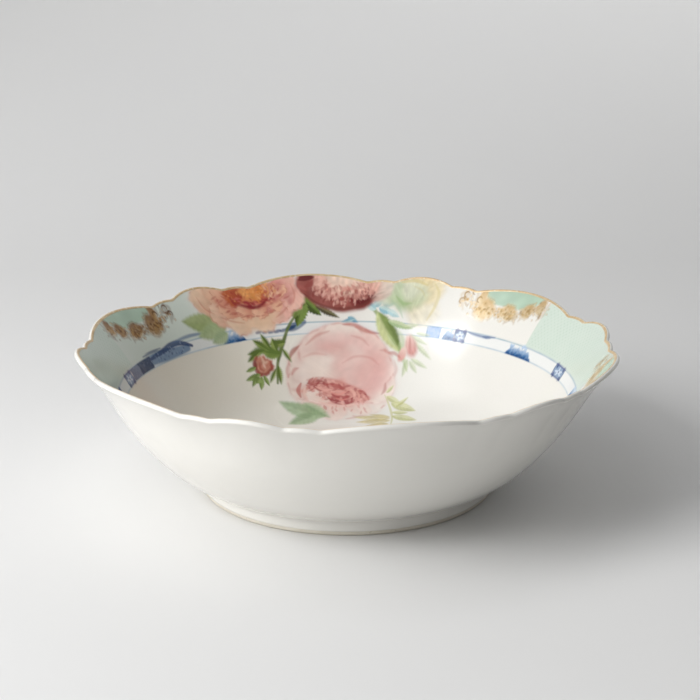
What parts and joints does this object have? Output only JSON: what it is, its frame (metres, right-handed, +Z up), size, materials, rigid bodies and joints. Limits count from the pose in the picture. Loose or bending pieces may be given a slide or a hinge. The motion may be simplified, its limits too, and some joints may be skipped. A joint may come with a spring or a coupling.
{
  "type": "serving bowl",
  "caption": "Round footed porcelain serving bowl with a flared scalloped gilt rim, a rose bouquet inside, a blue border band, mint lattice panels and gilt scrolls.",
  "frame": {"origin": "centre of the foot's standing ring, on the surface that the bowl stands on", "axes": "+Z up along the bowl's turning axis, +Y towards the bouquet's side of the rim, +X to the right of someone looking along +Y"},
  "size_m": [0.2386, 0.2406, 0.0693],
  "materials": {
    "fired_porcelain": "matt, unglazed on the standing ring",
    "clear_glaze": "high gloss",
    "gold_gilding": "soft burnished gold",
    "mint_print": "glossy enamel",
    "lattice_print": "glossy enamel with a fine lattice",
    "cobalt_print": "glossy underglaze blue",
    "flower_print": "glossy enamel",
    "foliage_print": "glossy enamel"
  },
  "bodies": {
    "root": {"base_glaze": "clear_glaze", "blue_border_band": "cobalt_print", "exterior_glaze": "clear_glaze", "fallen_leaf_transfer": "foliage_print", "front_leaf_pair_transfer": "foliage_print", "front_sprig_transfer": "foliage_print", "gilt_scroll_front": "gold_gilding", "gilt_scroll_front_left": "gold_gilding", "gilt_scroll_front_right": "gold_gilding", "gilt_scroll_left": "gold_gilding", "gilt_scroll_right": "gold_gilding", "interior_glaze": "clear_glaze", "lattice_panel_front_left": "lattice_print", "lattice_panel_front_right": "lattice_print", "lattice_panel_left": "lattice_print", "lattice_panel_right": "lattice_print", "left_bud_spray_transfer": "foliage_print", "long_leaf_transfer": "foliage_print", "main_rose_transfer": "flower_print", "mint_reserve_front": "mint_print", "mint_reserve_front_left": "mint_print", "mint_reserve_front_right": "mint_print", "mint_reserve_left": "mint_print", "mint_reserve_right": "mint_print", "pale_rose_transfer": "flower_print", "peach_rose_transfer": "flower_print", "porcelain_body": "fired_porcelain", "right_bud_spray_transfer": "foliage_print", "rim_gilding": "gold_gilding", "ruffled_rose_transfer": "flower_print", "stem_leaf_transfer": "foliage_print"}
  },
  "joints": []
}
